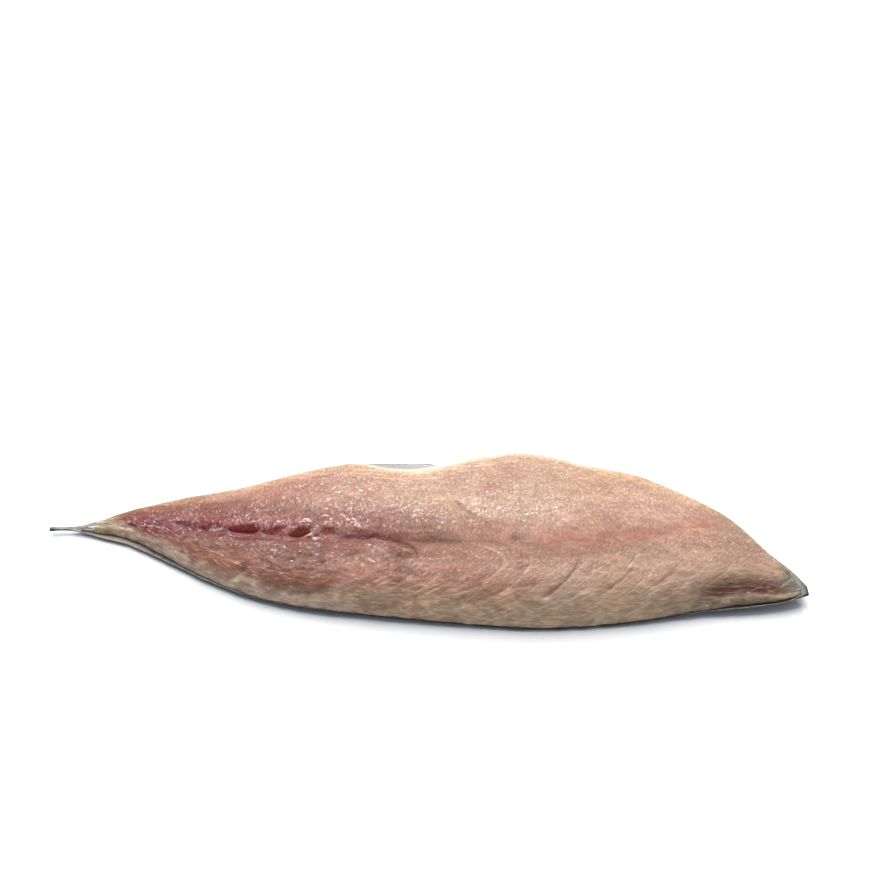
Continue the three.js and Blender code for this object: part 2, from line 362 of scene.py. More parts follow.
def path_bell(x, y, path, half_width):
    """1 on a path, falling off beside it and towards its two ends."""
    shift = wandering(x, y, 0.25)
    aside, along = beside_path(x + shift, y - shift, path)
    return bell(aside, half_width) * fading_ends(along, 0.18, 0.78)


def hollow_mask(x, y):
    aside = y - hollow_line(x)
    half_width = np.where(aside > 0, HOLLOW["crest_side"], HOLLOW["edge_side"])
    return bell(aside, half_width) * between(x, HOLLOW["start"], HOLLOW["end"], HOLLOW["fade"])


def fold_depth(x, y):
    aside, _ = beside_path(x, y, FOLD["path"])
    return FOLD["depth"] * bell(aside, FOLD["half_width"])


def groove_depth(x, y):
    depth = GROOVE["depth"] * between(x, GROOVE["start"], GROOVE["end"], GROOVE["fade"])
    return depth * bell(y - bloodline(x), GROOVE["half_width"])


def flake_phase(x, y):
    """Counts the muscle blocks along the fillet, whose borders bend at the red line."""
    above_edge = np.maximum(y - back_edge(x), LEAST_CLIMB)
    past_bend = np.maximum(0, above_edge - border_bend(x))
    back_shift = BORDER_LEAN * np.log(above_edge) - BORDER_BEND * past_bend ** 2
    belly_shift = -BORDER_SLANT * np.maximum(0, y - bloodline(x))
    at_blood = BORDER_LEAN * np.log(np.maximum(bloodline(x) - back_edge(x), LEAST_CLIMB))
    shift = np.where(y < bloodline(x), back_shift, at_blood + belly_shift)
    wobble = 0.9 * grain(x, y, 9, 6, 5)
    return (x - shift + wobble) / MYOMERE_PITCH


def flake_strength(x, y):
    """The blocks show in patches, and hardly at all on the belly half or near the tail."""
    patches = smoothstep(layered_grain(x, y, 13, 7, 61), -0.5, 0.9)
    back_half = smoothstep(x, -45, 25) * smoothstep(y - back_edge(x), 1, 6)
    belly_half = 0.35 * smoothstep(x, 10, 60)
    return patches * np.where(y < bloodline(x), back_half, belly_half)


def flake_step(phase):
    """Each block rises sharply at its border and sinks slowly to the next one."""
    part = phase - np.floor(phase)
    return smoothstep(part, 0, 0.10) * (1 - part) - 0.45


def cut_surface(x, y, back, belly, relief):
    """Height of the cut side, which never sinks through the skin."""
    inside = smoothstep(np.minimum(y - back, belly - y), 0, RELIEF_INSET)
    height = crown(x, y, back, belly) - groove_depth(x, y) - fold_depth(x, y)
    height = height + inside * relief["texture"]
    flakes = flake_step(flake_phase(x, y))
    height = height + inside * FLAKE_RELIEF * flakes * flake_strength(x, y)
    height = height + relief["raised"] - relief["cut"] - HOLLOW["depth"] * relief["hollow"]
    return np.maximum(height, skin_outside(x, y) + SKIN_THICKNESS + LEAST_FLESH)


def fat_zone(x, y, back):
    """1 on the pale fat along the back edge, whose border is sharp only near the tail."""
    softness = 1.7 + 1.6 * smoothstep(x, -40, -5)
    inner = y - back - fat_margin(x) - 0.8 * layered_grain(x, y, 6.0, 2.0, 81)
    return 1 - smoothstep(inner, -softness, softness)


def broad_lumps(x, y):
    return 0.20 * layered_grain(x, y, 17, 12, 11)


def surface_texture(x, y):
    """Soft lumps all over, and a torn, crumbly grain that is strongest near the tail."""
    torn = 0.35 + 0.65 * smoothstep(-x, -30, 25) * (1 - smoothstep(y, 6, 14))
    dimples = 0.07 * layered_grain(x, y, 5.5, 3.5, 15)
    ragged = 0.13 * torn * layered_grain(x, y, 2.4, 1.6, 21)
    fibres = 0.05 * layered_grain(x, y, 3.6, 0.9, 31, 2)
    return broad_lumps(x, y) + dimples + ragged + fibres


# ---- Meshes --------------------------------------------------------------------------------

def bunched(count, bunching):
    """Even steps from 0 to 1, gathered towards both ends."""
    t = np.linspace(0, 1, count + 1)
    return t - bunching * np.sin(2 * np.pi * t)


def lofted_mesh(name, sections, attributes):
    """A closed mesh through closed sections, given as an array of sections, points, xyz."""
    count, ring = sections.shape[:2]
    index = np.arange(count * ring).reshape(count, ring)
    beside = np.roll(index, -1, axis=1)
    quads = np.stack([index[:-1], index[1:], beside[1:], beside[:-1]], axis=-1)
    faces = quads.reshape(-1, 4).tolist()
    faces.append(index[0].tolist())
    faces.append(index[-1][::-1].tolist())
    mesh = bpy.data.meshes.new(name)
    mesh.from_pydata((sections.reshape(-1, 3) * MM).tolist(), [], faces)
    for key, values in attributes.items():
        layer = mesh.attributes.new(key, "FLOAT", "POINT")
        layer.data.foreach_set("value", np.ascontiguousarray(values, np.float32).ravel())
    mesh.validate()
    mesh.update()
    mesh.shade_smooth()
    piece = bpy.data.objects.new(name, mesh)
    bpy.context.scene.collection.objects.link(piece)
    return piece


def padded(values, ring):
    """Attribute values for the top rows, with zeros for the rows underneath."""
    extra = np.zeros((values.shape[0], ring - values.shape[1]))
    return np.concatenate([values, extra], axis=1)


def nearest_crack(x, y):
    """Signed distance to the nearest crack, how strong it is there, and all cracks' cuts."""
    shift = wandering(x, y, 0.22)
    nearest = np.full(x.shape, 99.0)
    signed = np.full(x.shape, 99.0)
    strength = np.zeros(x.shape)
    cut = np.zeros(x.shape)
    for depth, path in CRACKS:
        aside, along = beside_path(x + shift, y - shift, path)
        ends = fading_ends(along, 0.2, 0.75)
        nearer = np.abs(aside) < nearest
        nearest = np.where(nearer, np.abs(aside), nearest)
        signed = np.where(nearer, aside, signed)
        strength = np.where(nearer, ends * min(1, depth / 0.5), strength)
        cut = np.maximum(cut, 0.5 * depth * ends * bell(aside, 0.5))
    return signed, strength, cut


def carve(x, y):
    """What is cut from the crown and raised on it, and the masks that colour those places."""
    side, strength, cut = nearest_crack(x, y)
    slot_red, pocket_shade, dent, strand = (np.zeros_like(x) for _ in range(4))
    for depth, reach, lip in BONE_SLOTS:
        opened, red, dark = pocket(x, y, reach, lip)
        showing = min(1, depth / 1.1)
        slot_red = np.maximum(slot_red, red * showing)
        pocket_shade = np.maximum(pocket_shade, dark * showing ** 2)
        cut = np.maximum(cut, depth * opened)
    for depth, half_width, path in DENTS:
        dent = np.maximum(dent, path_bell(x, y, path, 0.6 * half_width))
        cut = cut + depth * path_bell(x, y, path, half_width)
    raised = sum(lump(x, y, *shape) for shape in LUMPS)
    for height, path in STRANDS:
        raised = raised + height * path_bell(x, y, path, 0.5)
        strand = np.maximum(strand, min(1, height / 0.3) * path_bell(x, y, path, 0.32))
    masks = {"slot_red": slot_red, "pocket_shade": pocket_shade, "dent": dent, "strand": strand,
             "crack_side": side, "crack_strength": strength}
    return cut, raised, masks


def make_flesh():
    stations = np.linspace(FLESH_TAIL_END, FLESH_NAPE_END, 561)[:, None]
    back = back_edge(stations) + flesh_back_inset(stations)
    back = back + 0.16 * layered_grain(stations, 0 * stations, 3.1, 1, 41)
    belly = flesh_belly_edge(stations) + 0.12 * grain(stations, 0 * stations, 4, 1, 43)
    belly = np.maximum(belly, back + 0.5)
    across = bunched(160, 0.07)[None, :]
    x = stations + 0 * across
    y = back + (belly - back) * across

    cut, raised, masks = carve(x, y)
    fat = fat_zone(x, y, back)
    texture = surface_texture(x, y) - 0.25 * fat * (1 - smoothstep(x, -24, 5))
    hollow = hollow_mask(x, y)
    relief = {"texture": texture, "raised": raised, "cut": cut, "hollow": hollow}
    top = np.stack([x, y, cut_surface(x, y, back, belly, relief)], axis=-1)
    # How far each point is from the back edge along the surface, which is steep there.
    climb = np.hypot(np.diff(y, axis=1), np.diff(crown(x, y, back, belly), axis=1))
    climb = np.concatenate([np.zeros_like(stations), climb.cumsum(axis=1)], axis=1)

    under_across = np.array([1, 0.8, 0.5, 0.2, 0])[None, :]
    under_y = back + (belly - back) * under_across
    under_x = stations + 0 * under_across
    under_z = skin_outside(under_x, under_y) + 0.6 * SKIN_THICKNESS
    under = np.stack([under_x, under_y, under_z], axis=-1)
    sections = np.concatenate([top, under], axis=1)

    masks |= {
        "from_back": y - back,
        "climb": climb,
        "from_belly": belly - y,
        "from_blood": y - bloodline(x),
        "flake": flake_phase(x, y),
        "flake_strength": flake_strength(x, y),
        "texture": texture - broad_lumps(x, y),
        "hollow": hollow,
        "fat": fat,
        "stain": sum(bell(np.hypot(x - a, y - b), radius) for (a, b), radius in STAINS),
        "rose": path_bell(x, y, ROSE_PATH, 3.2),
    }
    ring = sections.shape[1]
    return lofted_mesh("flesh", sections,
                       {key: padded(values, ring) for key, values in masks.items()})


def make_skin():
    stations = np.linspace(TAIL_END, NAPE_END, 481)[:, None]
    ragged = 0.12 * layered_grain(stations, 0 * stations, 2.2, 1, 51)
    flap = np.maximum(0, skin_flap(stations))
    back = back_edge(stations) + ragged
    belly = belly_edge(stations) + flap + 0.5 * ragged
    across = bunched(80, 0.10)[None, :]
    x = stations + 0 * across
    y = back + (belly - back) * across
    outside = skin_outside(x, y)
    edge = np.minimum(y - back, belly - y)
    thickness = SKIN_THICKNESS * (0.35 + 0.65 * smoothstep(edge, 0, 0.5))
    inside = np.stack([x, y, outside + thickness], axis=-1)
    under = np.stack([x, y, outside], axis=-1)[:, ::-1]
    sections = np.concatenate([inside, under], axis=1)
    is_inside = np.concatenate([np.ones_like(x), np.zeros_like(x)], axis=1)

    def both_sides(values):
        return np.concatenate([values, values[:, ::-1]], axis=1)

    attributes = {
        "inside": is_inside,
        "across": both_sides(2 * (y - back) / (belly - back) - 1),
        "from_back": both_sides(y - back),
        "from_belly": both_sides(belly - y),
        "flap": both_sides(smoothstep(y - belly_edge(x), -0.5, 5)),
    }
    return lofted_mesh("skin", sections, attributes)


# ---- Materials, node by node ---------------------------------------------------------------

def srgb(red, green, blue):
    """A colour given as 0 to 255 on screen, as the linear colour that shaders take."""
    linear = []
    for value in (red, green, blue):
        c = value / 255
        linear.append(c / 12.92 if c <= 0.04045 else ((c + 0.055) / 1.055) ** 2.4)
    return (*linear, 1)


class Look:
    """A material being wired up, node by node. Lengths are in millimetres."""

    def __init__(self, name):
        self.material = bpy.data.materials.new(name)
        self.material.use_nodes = True
        self.tree = self.material.node_tree
        self.tree.nodes.clear()
        self.x = self.axis("X")

    def add(self, kind, **settings):
        node = self.tree.nodes.new("ShaderNode" + kind)
        for key, value in settings.items():
            setattr(node, key, value)
        return node

    def feed(self, socket, value):
        if isinstance(value, bpy.types.NodeSocket):
            self.tree.links.new(value, socket)
        elif socket.type == "VECTOR":
            socket.default_value = value[:3]
        else:
            socket.default_value = value

    def fill(self, node, **values):
        """Feeds the node's named inputs, written with an underscore for each space."""
        for key, value in values.items():
            self.feed(node.inputs[key.replace("_", " ")], value)

    def __getitem__(self, name):
        """A value that the mesh holds for each of its points."""
        return self.add("Attribute", attribute_name=name).outputs["Fac"]

    def math(self, operation, first, second=0.0):
        node = self.add("Math", operation=operation)
        self.feed(node.inputs[0], first)
        self.feed(node.inputs[1], second)
        return node.outputs[0]

    def plus(self, first, second):
        return self.math("ADD", first, second)

    def minus(self, first, second):
        return self.math("SUBTRACT", first, second)

    def larger(self, first, second):
        return self.math("MAXIMUM", first, second)

    def magnitude(self, value):
        return self.math("ABSOLUTE", value)

    def times(self, *values):
        product = values[0]
        for value in values[1:]:
            product = self.math("MULTIPLY", product, value)
        return product

    def places(self, stretch=(1, 1, 1)):
        """The object's own coordinates in millimetres, stretched along each axis."""
        node = self.add("Mapping")
        self.fill(node, Vector=self.add("TexCoord").outputs["Object"],
                  Scale=[factor / MM for factor in stretch])
        return node.outputs["Vector"]

    def axis(self, name):
        node = self.add("SeparateXYZ")
        self.fill(node, Vector=self.places())
        return node.outputs[name]

    def vector(self, x, y):
        node = self.add("CombineXYZ")
        self.fill(node, X=x, Y=y)
        return node.outputs["Vector"]

    def noise(self, size, stretch=(1, 1, 1), detail=2.0, roughness=0.5, distortion=0.0,
              vector=None):
        node = self.add("TexNoise")
        self.fill(node, Vector=vector or self.places(stretch), Scale=1 / size,
                  Detail=detail, Roughness=roughness, Distortion=distortion)
        return node.outputs["Fac"]

    def steps(self, value, low, high, to_low=0.0, to_high=1.0):
        """Maps low..high smoothly to to_low..to_high."""
        node = self.add("MapRange", interpolation_type="SMOOTHSTEP")
        self.fill(node, Value=value, From_Min=low, From_Max=high, To_Min=to_low,
                  To_Max=to_high)
        return node.outputs["Result"]

    def stretch(self, start, full, fading, end):
        """1 along the fillet from full to fading, falling to 0 at the start and the end."""
        return self.times(self.steps(self.x, start, full), self.steps(self.x, end, fading))

    def line(self, distance, half_width, middle=0):
        """1 where the distance is the middle, falling to 0 at the half width beside it."""
        if middle:
            distance = self.minus(distance, middle)
        return self.steps(self.magnitude(distance), 0, half_width, 1, 0)

    def mix(self, amount, first, second):
        node = self.add("Mix", data_type="RGBA")
        self.feed(node.inputs[0], amount)
        self.feed(node.inputs[6], first)
        self.feed(node.inputs[7], second)
        return node.outputs[2]

    def paint(self, color, over, *amounts):
        """The colour with another one over it, as strong as the product of the amounts."""
        return self.mix(self.times(*amounts), color, over)

    def blend(self, amount, first, second):
        node = self.add("Mix", data_type="FLOAT")
        self.feed(node.inputs[0], amount)
        self.feed(node.inputs[2], first)
        self.feed(node.inputs[3], second)
        return node.outputs[0]

    def shade(self, color, value):
        """The colour made lighter or darker by a factor."""
        node = self.add("VectorMath", operation="SCALE")
        self.feed(node.inputs[0], color)
        self.fill(node, Scale=value)
        return node.outputs[0]

    def tint(self, color, factors):
        """The colour with each of its channels multiplied by a factor."""
        node = self.add("VectorMath", operation="MULTIPLY")
        self.feed(node.inputs[0], color)
        self.feed(node.inputs[1], factors)
        return node.outputs[0]

    def bump(self, height, distance, normal=None):
        node = self.add("Bump")
        self.fill(node, Strength=1.0, Distance=distance * MM, Height=height)
        if normal:
            self.fill(node, Normal=normal)
        return node.outputs["Normal"]

    def finish(self, **inputs):
        surface = self.add("BsdfPrincipled")
        self.fill(surface, **inputs)
        self.fill(self.add("OutputMaterial"), Surface=surface.outputs["BSDF"])
        return self.material


# ---- Colours and materials -----------------------------------------------------------------

PINK_MUSCLE = srgb(136, 101, 85)       # the middle of the fillet
ROSE_MUSCLE = srgb(125, 78, 67)        # the tail half
PEACH_MUSCLE = srgb(147, 116, 95)      # the belly half
BROWN_MUSCLE = srgb(129, 87, 72)       # the tail half below the red line
TAN_MUSCLE = srgb(149, 109, 93)        # the slope down to the back edge
PALE_MUSCLE = srgb(164, 134, 115)      # the same slope behind the head
OLIVE_EDGE = srgb(184, 159, 130)       # the fat along the back edge
TAIL_FAT = srgb(212, 188, 165)         # the same fat in the tail half
CREAM_END = srgb(152, 138, 107)        # thin flesh over the skin, at both ends
PEACH_RIM = srgb(167, 133, 98)
TAIL_RIM = srgb(135, 98, 67)
WHITE_MEMBRANE = srgb(191, 183, 168)
SOFT_BLOOD = srgb(107, 48, 44)
BLOOD = srgb(84, 23, 31)
SLOT_RED = srgb(138, 48, 40)
# Painted shade for the deepest part of the bone pockets.
SLOT_SHADE = srgb(56, 8, 8)
# Brown, and painted shade, in cracks, dents and the borders of the muscle blocks.
CREASE_SHADE_BROWN = srgb(62, 26, 22)
HOLLOW_BROWN = srgb(78, 46, 37)
# Pale sheets between the muscle blocks, also painted as highlights on the raised lips beside
# them.
SEPTUM_AND_HIGHLIGHT_PALE = srgb(193, 166, 145)
# Painted glints on the bare tail skin.
MEMBRANE_GLINT_PALE = srgb(206, 198, 190)
TAIL_MEMBRANE = srgb(112, 110, 103)
RED_BROWN = srgb(136, 78, 66)          # the blush beside the line behind the head
# Pale flecks in the flesh, also painted as glints.
SPECK_AND_GLINT_PALE = srgb(209, 176, 156)
# Pale strands, partly painted highlights.
STRAND_AND_GLINT_PALE = srgb(222, 196, 184)

# What a colour's channels are multiplied by.
WHITE = (1, 1, 1, 1)
DARK_BAND = (0.62, 0.52, 0.47)         # beside the backbone
SHADED_END = (0.66, 0.70, 0.70)        # along the back edge behind the head
GRAIN_DARK = (0.85, 0.83, 0.82, 1)     # by the fine grain of the back half
GRAIN_PALE = (1.12, 1.13, 1.13, 1)
ROSY_DARK = (0.88, 0.78, 0.76, 1)      # and of the belly half
ROSY_PALE = (1.12, 1.22, 1.26, 1)

SKIN_BLACK = srgb(12, 20, 30)
SKIN_BLUE_GREEN = srgb(62, 80, 88)
SKIN_GREEN_PALE = srgb(98, 116, 120)
SKIN_BLUE = srgb(86, 108, 140)
SKIN_SILVER = srgb(134, 148, 164)
SKIN_PEARL = srgb(168, 168, 174)
SKIN_INNER = srgb(118, 118, 115)
SKIN_INNER_DARK = srgb(88, 89, 86)
SKIN_COLLAR = srgb(86, 83, 70)         # beyond the flesh behind the head
FLAP_PALE = srgb(160, 155, 144)        # the flap in the notch, beside the flesh
SKIN_FLAP = srgb(116, 114, 105)
SKIN_FLAP_EDGE = srgb(60, 61, 57)

FLOOR_GREY = srgb(224, 224, 225)
FLOOR_WHITE = srgb(228, 228, 228)


def muscle_color(look):
    """The flesh's broad tints, from the back edge over the crest to the belly edge."""
    from_blood = look["from_blood"]
    drift = look.minus(look.noise(16, detail=3), 0.5)
    x_drifted = look.plus(look.x, look.times(drift, 60))
    tail = look.steps(x_drifted, 15, -50)
    color = look.mix(tail, PINK_MUSCLE, ROSE_MUSCLE)
    color = look.paint(color, PEACH_MUSCLE, look.steps(from_blood, 4, 20),
                       look.steps(tail, 0, 1, 1, 0.3))
    color = look.paint(color, PALE_MUSCLE, look.steps(x_drifted, 45, 85, 0, 0.45))
    color = look.paint(color, BROWN_MUSCLE, look.steps(from_blood, 1, -3),
                       look.steps(x_drifted, 6, -26))
    slope_color = look.mix(look.steps(x_drifted, 20, 50), TAN_MUSCLE, PALE_MUSCLE)
    color = look.paint(color, slope_color, look.steps(look["from_back"], 20, 8),
                       look.steps(x_drifted, -26, 6))
    beside_line = look.minus(from_blood, look.steps(drift, -0.3, 0.3, -1, 7))
    return look.paint(color, look.tint(color, DARK_BAND),
                      look.steps(look.magnitude(beside_line), 17, 4),
                      look.steps(x_drifted, 50, -15))


def with_edges(look, color):
    """Pale fat along the back edge, and the thin peach rim of the belly edge."""
    x = look.x
    fat_color = look.mix(look.steps(x, -5, -30), OLIVE_EDGE, TAIL_FAT)
    patchy = look.steps(look.noise(2.6, (0.5, 1, 1), detail=3), 0.36, 0.56, 0.50, 0.85)
    color = look.paint(color, fat_color, look["fat"], patchy)
    rim_color = look.mix(look.steps(x, -50, -75), PEACH_RIM, TAIL_RIM)
    return look.paint(color, rim_color, look.steps(look["from_belly"], 10, 1, 0, 0.85),
                      look.steps(look["from_blood"], 3, 9))


def with_blushes(look, color):
    """Patches of blood near the red line, and a rosy line towards the belly edge."""
    patches = look.steps(look.noise(7, (0.5, 1, 1), detail=3), 0.42, 0.66)
    color = look.paint(color, SOFT_BLOOD, patches,
                       look.steps(look.magnitude(look["from_blood"]), 15, 3),
                       look.steps(look.x, 0, -45, 0.10, 0.35))
    return look.paint(color, RED_BROWN, look["rose"], 0.30)


def with_ends(look, color):
    """The flesh thins towards both tips, and lies in shade behind the head."""
    x = look.x
    collar = look.times(look.steps(look["from_belly"], 6.0, 1.5),
                        look.steps(x, 92, 104))
    thin_ends = look.larger(look.steps(x, -93, -104), collar)
    color = look.paint(color, CREAM_END, thin_ends, 0.85)
    color = look.paint(color, look.tint(color, SHADED_END), look.steps(x, 58, 95),
                       look.steps(look["from_back"], 10, 4))
    color = look.shade(color, look.steps(x, 86, 101, 1, 0.80))
    return look.paint(color, SKIN_COLLAR, look.steps(x, 110.5, 115))


def beside_pockets(look, fade_from, fade_to, half_width):
    """1 on the belly side of the bone pockets, which fades out further along the fillet."""
    return look.times(look.stretch(-66, -56, fade_from, fade_to),
                      look.line(look["from_blood"], half_width, middle=4))


def with_blood(look, color):
    """The red line: a thin dark thread at the tail, a soft broad blush behind the head."""
    wobble = look.times(look.minus(look.noise(4, (0.4, 1, 1)), 0.5), 3.0)
    from_blood = look.plus(look["from_blood"], wobble)
    at_tail = look.stretch(-101, -87, -58, -34)
    broken = look.steps(look.noise(3, (0.35, 1, 1), detail=3), 0.34, 0.60)
    off_fat = look.steps(look["fat"], 0.2, 0.9, 1, 0.25)
    color = look.paint(color, SOFT_BLOOD, look.line(from_blood, 9.0, middle=2.2), at_tail,
                       off_fat, 0.95)
    color = look.paint(color, BLOOD, look.line(from_blood, 4.6, middle=0.6), at_tail,
                       look.steps(broken, 0, 1, 0.72, 1))
    color = look.paint(color, SOFT_BLOOD, look.line(from_blood, 1.6),
                       look.stretch(-60, -40, 20, 60), broken, 0.30)
    wisps = look.noise(2.4, (0.22, 1, 1), detail=4, roughness=0.65)
    color = look.paint(color, RED_BROWN, look.line(from_blood, 5.5),
                       look.stretch(30, 46, 88, 106),
                       look.steps(wisps, 0.40, 0.60, 0.15, 1),
                       look.steps(look.x, 62, 80, 0.62, 0.5))
    return look.paint(color, SOFT_BLOOD, beside_pockets(look, -18, -4, 8), 0.45)


def with_flakes(look, color):
    """Each muscle block darkens slowly with painted shade as its surface sinks towards its
    border, where a dark line of painted shade lies in the groove and beside it a thin pale
    sheet shows, partly a painted highlight on the raised lip.
    """
    phase = look["flake"]
    strength = look["flake_strength"]
    part = look.math("FRACT", phase)
    # Painted shade: each block is lighter where its surface rises at the border and darker
    # where it has sunk.
    fading = look.times(look.minus(0.5, part), strength, 0.22)
    color = look.shade(color, look.plus(1, fading))
    border = look.minus(look.math("FRACT", look.plus(phase, 0.5)), 0.5)
    color = look.paint(color, CREASE_SHADE_BROWN, look.line(border, 0.07), strength, 0.25)
    color = look.paint(color, SEPTUM_AND_HIGHLIGHT_PALE, look.line(border, 0.16, middle=0.13), strength,
                       0.22)
    climb = look["climb"]
    skewed = look.minus(look.x, look.times(climb, 2.0))
    along_borders = look.vector(look.times(skewed, 0.42), look.times(climb, 0.12))
    streaks = look.steps(look.noise(0.9, vector=along_borders, detail=1), 0.54, 0.64)
    return look.paint(color, SEPTUM_AND_HIGHLIGHT_PALE, streaks, look.steps(climb, 15, 9),
                      look.stretch(-30, 10, 66, 84), 0.75)


def with_openings(look, color):
    """Bruises; pockets, cracks and dents, which are brown or red and darkened with painted
    shade; and the brown hollow behind the head.
    """
    color = look.paint(color, HOLLOW_BROWN, look["stain"], 0.4)
    fibres = look.noise(0.8, (0.08, 1, 1), detail=3, roughness=0.6)
    color = look.paint(color, HOLLOW_BROWN, look.steps(look["hollow"], 0.10, 1.05),
                       look.steps(fibres, 0.34, 0.58, 0.45, 1.0))
    # Painted shade along the dents.
    color = look.paint(color, CREASE_SHADE_BROWN, look.steps(look["dent"], 0, 1, 0, 0.42))
    side = look["crack_side"]
    strength = look["crack_strength"]
    # Cracks: their brown colour, darkened with painted shade in the crease.
    color = look.paint(color, CREASE_SHADE_BROWN, look.line(side, 1.3), strength, 0.38)
    color = look.paint(color, CREASE_SHADE_BROWN, look.line(side, 0.48),
                       look.math("POWER", strength, 1.4))
    color = look.paint(color, SLOT_RED, look["slot_red"], 0.75)
    # Painted shade in the depths of the pockets.
    return look.paint(color, SLOT_SHADE, look["pocket_shade"])


def strokes(look, size, detail):
    """Fine grain: across the belly half, along the muscle blocks, and along the back edge."""
    climb = look["climb"]
    kind = {"detail": detail, "roughness": 0.6, "distortion": 0.6}
    across = look.noise(size, (1.3, 0.6, 1), **kind)
    skewed = look.minus(look.x, look.times(climb, 0.5))
    blocks = look.vector(look.times(skewed, 0.95), look.times(climb, 0.75))
    edge = look.vector(look.times(look.x, 0.30), look.times(climb, 0.9))
    grain_here = look.blend(look.steps(look["from_blood"], -3, 3),
                            look.noise(size, vector=blocks, **kind), across)
    return look.blend(look.steps(climb, 15, 9), grain_here,
                      look.noise(size, vector=edge, **kind))


def with_grain(look, color, fine):
    """Painted shade in the dips of the fine relief and painted light on its lumps, blotches,
    fine grain, and pale specks that are partly painted glints.
    """
    # Painted shade and light: the fine relief's dips are darkened and its lumps lightened.
    color = look.shade(color, look.steps(look["texture"], -0.22, 0.22, 0.80, 1.12))
    blotches = look.noise(3.2, (0.6, 1, 1), detail=4, roughness=0.6)
    color = look.shade(color, look.steps(blotches, 0.35, 0.65, 0.90, 1.10))
    back_grain = look.mix(look.steps(fine, 0.32, 0.66), GRAIN_DARK, GRAIN_PALE)
    belly_grain = look.mix(look.steps(fine, 0.38, 0.62), ROSY_DARK, ROSY_PALE)
    belly_half = look.steps(look["from_blood"], 2, 9)
    color = look.tint(color, look.mix(belly_half, back_grain, belly_grain))
    # Pale specks: partly flecks in the flesh, partly painted glints.
    return look.paint(color, SPECK_AND_GLINT_PALE, look.steps(fine, 0.58, 0.70),
                      look.steps(look.x, 50, 0, 0.26, 0.42))


def with_fibres(look, color):
    """Torn pale strands partly painted as highlights, streaks in the fat, and sinews and
    membrane near the belly edge.
    """
    broken = look.steps(look.noise(1.0, detail=2), 0.38, 0.56)
    # The strands' pale colour is partly a painted highlight.
    color = look.paint(color, STRAND_AND_GLINT_PALE, look["strand"], broken, 0.85)
    along_edge = look.vector(look.times(look.x, 0.22), look.times(look["climb"], 1.3))
    streaks = look.noise(1.0, vector=along_edge, detail=2, distortion=0.8)
    fat_shade = look.shade(WHITE, look.steps(streaks, 0.36, 0.66, 0.88, 1.12))
    color = look.tint(color, look.mix(look["fat"], WHITE, fat_shade))
    from_belly = look["from_belly"]
    sinews = look.noise(1.1, (0.12, 1.2, 1), detail=2, distortion=0.3)
    color = look.paint(color, SPECK_AND_GLINT_PALE, look.steps(sinews, 0.54, 0.68),
                       look.steps(from_belly, 13, 7), look.stretch(-48, -25, 20, 62), 0.5)
    return look.paint(color, WHITE_MEMBRANE, look.steps(from_belly, 5.0, 2.0),
                      look.stretch(-12, 4, 50, 78), 0.5)


def wetness(look, bare):
    """How wet each place is: most beside the pockets and on strands, hardly in openings."""
    from_blood = look["from_blood"]
    wet = look.steps(look.noise(6, (0.6, 1, 1), detail=2), 0.42, 0.60, 0.15, 0.45)
    belly_sheen = look.times(look.stretch(-60, -30, 40, 60),
                             look.steps(from_blood, 6, 13), 0.6)
    for place in (look.times(beside_pockets(look, -24, -14, 9), 0.5), belly_sheen,
                  look.times(bare, 0.5), look["strand"]):
        wet = look.larger(wet, place)
    crest = look.times(look.steps(look.x, -14, -2), look.line(from_blood, 10))
    in_crack = look.times(look.line(look["crack_side"], 0.5), look["crack_strength"])
    opening = look.larger(in_crack, look["pocket_shade"])
    return look.times(wet, look.steps(crest, 0, 0.6, 1, 0.25),
                      look.steps(look.x, 45, 60, 1, 0.5),
                      look.steps(opening, 0, 1, 1, 0.1),
                      look.steps(look["fat"], 0, 1, 1, 0.5))


def flesh_material():
    look = Look("flesh")
    fine = strokes(look, 0.85, 2.5)
    color = muscle_color(look)
    for add_tints in (with_edges, with_blushes, with_ends, with_blood, with_flakes):
        color = add_tints(look, color)
    color = with_grain(look, color, fine)
    color = with_openings(look, color)
    color = with_fibres(look, color)
    bare = look.times(look.steps(look.x, -99, -106),
                      look.steps(look["from_belly"], 5, 1, 0.5, 1))
    # Bare tail skin: grey membrane with pale streaks painted as glints.
    glint_streaks = look.noise(1.0, (0.14, 1.2, 1), detail=2, distortion=0.5)
    bare_color = look.mix(look.steps(glint_streaks, 0.5, 0.6), TAIL_MEMBRANE, MEMBRANE_GLINT_PALE)
    color = look.paint(color, bare_color, bare)

    normal = look.bump(look.noise(1.6, (0.3, 1, 1), detail=3, roughness=0.6), 0.16)
    normal = look.bump(fine, 0.25, normal)
    wet_normal = look.bump(look.noise(2.2, (1.0, 0.9, 1), detail=1), 0.32)
    wet_normal = look.bump(strokes(look, 1.15, 0.4), 0.46, wet_normal)
    return look.finish(
        Base_Color=color, Roughness=0.5, IOR=1.4, Specular_IOR_Level=0.15, Normal=normal,
        Subsurface_Weight=0.3, Subsurface_Radius=(1.0, 0.4, 0.25), Subsurface_Scale=0.0014,
        Coat_Weight=wetness(look, bare), Coat_Roughness=0.08, Coat_IOR=1.45,
        Coat_Normal=wet_normal)


def skin_bars(look):
    """Slanted wavy bars, which turn into a maze of lines near the head."""
    y = look.axis("Y")
    waves = look.add("TexWave", wave_type="BANDS", bands_direction="X")
    slanted = look.vector(look.plus(look.x, look.times(y, 0.5)), y)
    look.fill(waves, Vector=slanted, Scale=0.036, Distortion=6.5, Detail=1.0,
              Detail_Scale=1.4)
    bars = look.steps(waves.outputs["Fac"], 0.52, 0.66)
    maze = look.minus(look.noise(8, (0.8, 1, 1), detail=0, distortion=0.8), 0.5)
    maze = look.steps(look.magnitude(maze), 0.055, 0.035)
    return look.blend(look.steps(look.x, 40, 66), bars, maze)


